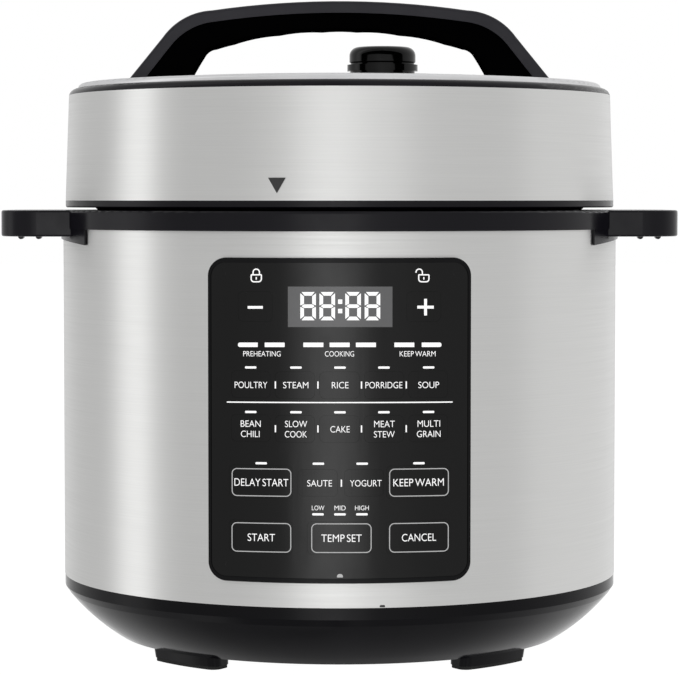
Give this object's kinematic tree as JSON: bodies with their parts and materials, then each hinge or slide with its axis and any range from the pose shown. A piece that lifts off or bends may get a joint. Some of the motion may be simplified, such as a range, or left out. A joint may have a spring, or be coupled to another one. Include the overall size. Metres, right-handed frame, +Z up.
{
  "type": "electric pressure cooker",
  "caption": "Round electric pressure cooker with a bayonet lid, arched lid handle, side ears, lift-out pot and a curved front panel of keys.",
  "frame": {"origin": "on the cooker's vertical axis, at the floor the feet stand on", "axes": "+Z up, -Y towards the control panel, X across the two ears"},
  "size_m": [0.3296, 0.3015, 0.3178],
  "materials": {
    "black_plastic": "satin",
    "rubber_pad": "matte",
    "cover_plastic": "matte",
    "screw_steel": "bright",
    "steel_sleeve": "brushed",
    "pot_steel": "satin",
    "plate_aluminium": "cast",
    "board_laminate": "satin",
    "component_plastic": "satin",
    "wire_sheath": "satin",
    "display_face": "gloss",
    "light_guide": "satin",
    "panel_black": "gloss",
    "panel_film": "gloss",
    "pin_metal": "plated",
    "cup_clear": "clear",
    "cooking_steel": "polished",
    "silicone": "matte",
    "silver_plate": "satin",
    "handle_grey": "satin",
    "grip_black": "satin",
    "gloss_black": "gloss"
  },
  "bodies": {
    "base": {"base_housing": "black_plastic", "feet": "black_plastic", "foot_pads": "rubber_pad", "bottom_cover": "cover_plastic", "bottom_screws": "screw_steel", "body_skin": "steel_sleeve", "top_collar": "black_plastic", "outer_pot": "pot_steel", "heating_plate": "plate_aluminium", "sensor_bracket": "screw_steel", "sensor_spring": "screw_steel", "power_board": "board_laminate", "power_components": "component_plastic", "wiring": "wire_sheath", "control_board": "board_laminate", "tact_switches": "component_plastic", "display_module": "display_face", "light_guides": "light_guide", "panel_bezel": "panel_black", "panel_film": "panel_film", "mains_inlet": "cover_plastic", "inlet_pins": "pin_metal", "cup_bracket": "cover_plastic"},
    "sensor": {"sensor_cap": "plate_aluminium"},
    "cup": {"condensation_cup": "cup_clear"},
    "inner_pot": {"inner_pot": "cooking_steel"},
    "inner_cover": {"inner_cover": "cooking_steel", "sealing_ring": "silicone", "block_shield": "cooking_steel"},
    "lid": {"lid_band": "steel_sleeve", "lid_lower_trim": "black_plastic", "lid_top_trim": "black_plastic", "lid_top_plate": "silver_plate", "lid_pressure_plate": "pot_steel", "centre_post": "screw_steel", "handle_shell": "handle_grey", "handle_grip": "grip_black", "handle_screws": "screw_steel", "steam_pipe": "screw_steel"},
    "release_knob": {"steam_knob": "gloss_black"},
    "float_valve": {"float_pin": "pin_metal"},
    "minus_button": {"key_minus": "panel_film"},
    "plus_button": {"key_plus": "panel_film"},
    "poultry_button": {"key_poultry": "panel_film"},
    "steam_button": {"key_steam": "panel_film"},
    "rice_button": {"key_rice": "panel_film"},
    "porridge_button": {"key_porridge": "panel_film"},
    "soup_button": {"key_soup": "panel_film"},
    "bean_chili_button": {"key_bean_chili": "panel_film"},
    "slow_cook_button": {"key_slow_cook": "panel_film"},
    "cake_button": {"key_cake": "panel_film"},
    "meat_stew_button": {"key_meat_stew": "panel_film"},
    "multi_grain_button": {"key_multi_grain": "panel_film"},
    "delay_start_button": {"key_delay_start": "panel_film"},
    "saute_button": {"key_saute": "panel_film"},
    "yogurt_button": {"key_yogurt": "panel_film"},
    "keep_warm_button": {"key_keep_warm": "panel_film"},
    "start_button": {"key_start": "panel_film"},
    "temp_set_button": {"key_temp_set": "panel_film"},
    "cancel_button": {"key_cancel": "panel_film"}
  },
  "joints": [
    {"name": "pot_lift", "type": "slide", "parent": "base", "child": "inner_pot", "axis": [0, 0, 1], "range_m": [0, 0.17]},
    {"name": "lid_lift", "type": "slide", "parent": "inner_pot", "child": "inner_cover", "axis": [0, 0, 1], "range_m": [0, 0.13]},
    {"name": "lid_turn", "type": "hinge", "parent": "inner_cover", "child": "lid", "pos_m": [0, 0, 0.222], "axis": [0, 0, 1], "range_deg": [-4.3, 27.8]},
    {"name": "release_turn", "type": "hinge", "parent": "lid", "child": "release_knob", "pos_m": [0.0221, 0.048, 0.292], "axis": [0, 0, 1], "range_deg": [0, 30]},
    {"name": "float_rise", "type": "slide", "parent": "lid", "child": "float_valve", "axis": [0, 0, 1], "range_m": [0, 0.0045]},
    {"name": "cup_slide", "type": "slide", "parent": "base", "child": "cup", "axis": [0, 1, 0], "range_m": [0, 0.04]},
    {"name": "sensor_press", "type": "slide", "parent": "base", "child": "sensor", "axis": [0, 0, 1], "range_m": [-0.0015, 0], "stiffness_N_per_m": 600, "springref_m": 0.003, "deforming": ["sensor_spring"]},
    {"name": "minus_press", "type": "slide", "parent": "base", "child": "minus_button", "axis": [0, 1, 0], "range_m": [0, 0.0004], "stiffness_N_per_m": 1000, "springref_m": -0.0004},
    {"name": "plus_press", "type": "slide", "parent": "base", "child": "plus_button", "axis": [0, 1, 0], "range_m": [0, 0.0004], "stiffness_N_per_m": 1000, "springref_m": -0.0004},
    {"name": "poultry_press", "type": "slide", "parent": "base", "child": "poultry_button", "axis": [0, 1, 0], "range_m": [0, 0.0004], "stiffness_N_per_m": 1000, "springref_m": -0.0004},
    {"name": "steam_press", "type": "slide", "parent": "base", "child": "steam_button", "axis": [0, 1, 0], "range_m": [0, 0.0004], "stiffness_N_per_m": 1000, "springref_m": -0.0004},
    {"name": "rice_press", "type": "slide", "parent": "base", "child": "rice_button", "axis": [0, 1, 0], "range_m": [0, 0.0004], "stiffness_N_per_m": 1000, "springref_m": -0.0004},
    {"name": "porridge_press", "type": "slide", "parent": "base", "child": "porridge_button", "axis": [0, 1, 0], "range_m": [0, 0.0004], "stiffness_N_per_m": 1000, "springref_m": -0.0004},
    {"name": "soup_press", "type": "slide", "parent": "base", "child": "soup_button", "axis": [0, 1, 0], "range_m": [0, 0.0004], "stiffness_N_per_m": 1000, "springref_m": -0.0004},
    {"name": "bean_chili_press", "type": "slide", "parent": "base", "child": "bean_chili_button", "axis": [0, 1, 0], "range_m": [0, 0.0004], "stiffness_N_per_m": 1000, "springref_m": -0.0004},
    {"name": "slow_cook_press", "type": "slide", "parent": "base", "child": "slow_cook_button", "axis": [0, 1, 0], "range_m": [0, 0.0004], "stiffness_N_per_m": 1000, "springref_m": -0.0004},
    {"name": "cake_press", "type": "slide", "parent": "base", "child": "cake_button", "axis": [0, 1, 0], "range_m": [0, 0.0004], "stiffness_N_per_m": 1000, "springref_m": -0.0004},
    {"name": "meat_stew_press", "type": "slide", "parent": "base", "child": "meat_stew_button", "axis": [0, 1, 0], "range_m": [0, 0.0004], "stiffness_N_per_m": 1000, "springref_m": -0.0004},
    {"name": "multi_grain_press", "type": "slide", "parent": "base", "child": "multi_grain_button", "axis": [0, 1, 0], "range_m": [0, 0.0004], "stiffness_N_per_m": 1000, "springref_m": -0.0004},
    {"name": "delay_start_press", "type": "slide", "parent": "base", "child": "delay_start_button", "axis": [0, 1, 0], "range_m": [0, 0.0004], "stiffness_N_per_m": 1000, "springref_m": -0.0004},
    {"name": "saute_press", "type": "slide", "parent": "base", "child": "saute_button", "axis": [0, 1, 0], "range_m": [0, 0.0004], "stiffness_N_per_m": 1000, "springref_m": -0.0004},
    {"name": "yogurt_press", "type": "slide", "parent": "base", "child": "yogurt_button", "axis": [0, 1, 0], "range_m": [0, 0.0004], "stiffness_N_per_m": 1000, "springref_m": -0.0004},
    {"name": "keep_warm_press", "type": "slide", "parent": "base", "child": "keep_warm_button", "axis": [0, 1, 0], "range_m": [0, 0.0004], "stiffness_N_per_m": 1000, "springref_m": -0.0004},
    {"name": "start_press", "type": "slide", "parent": "base", "child": "start_button", "axis": [0, 1, 0], "range_m": [0, 0.0004], "stiffness_N_per_m": 1000, "springref_m": -0.0004},
    {"name": "temp_set_press", "type": "slide", "parent": "base", "child": "temp_set_button", "axis": [0, 1, 0], "range_m": [0, 0.0004], "stiffness_N_per_m": 1000, "springref_m": -0.0004},
    {"name": "cancel_press", "type": "slide", "parent": "base", "child": "cancel_button", "axis": [0, 1, 0], "range_m": [0, 0.0004], "stiffness_N_per_m": 1000, "springref_m": -0.0004}
  ]
}
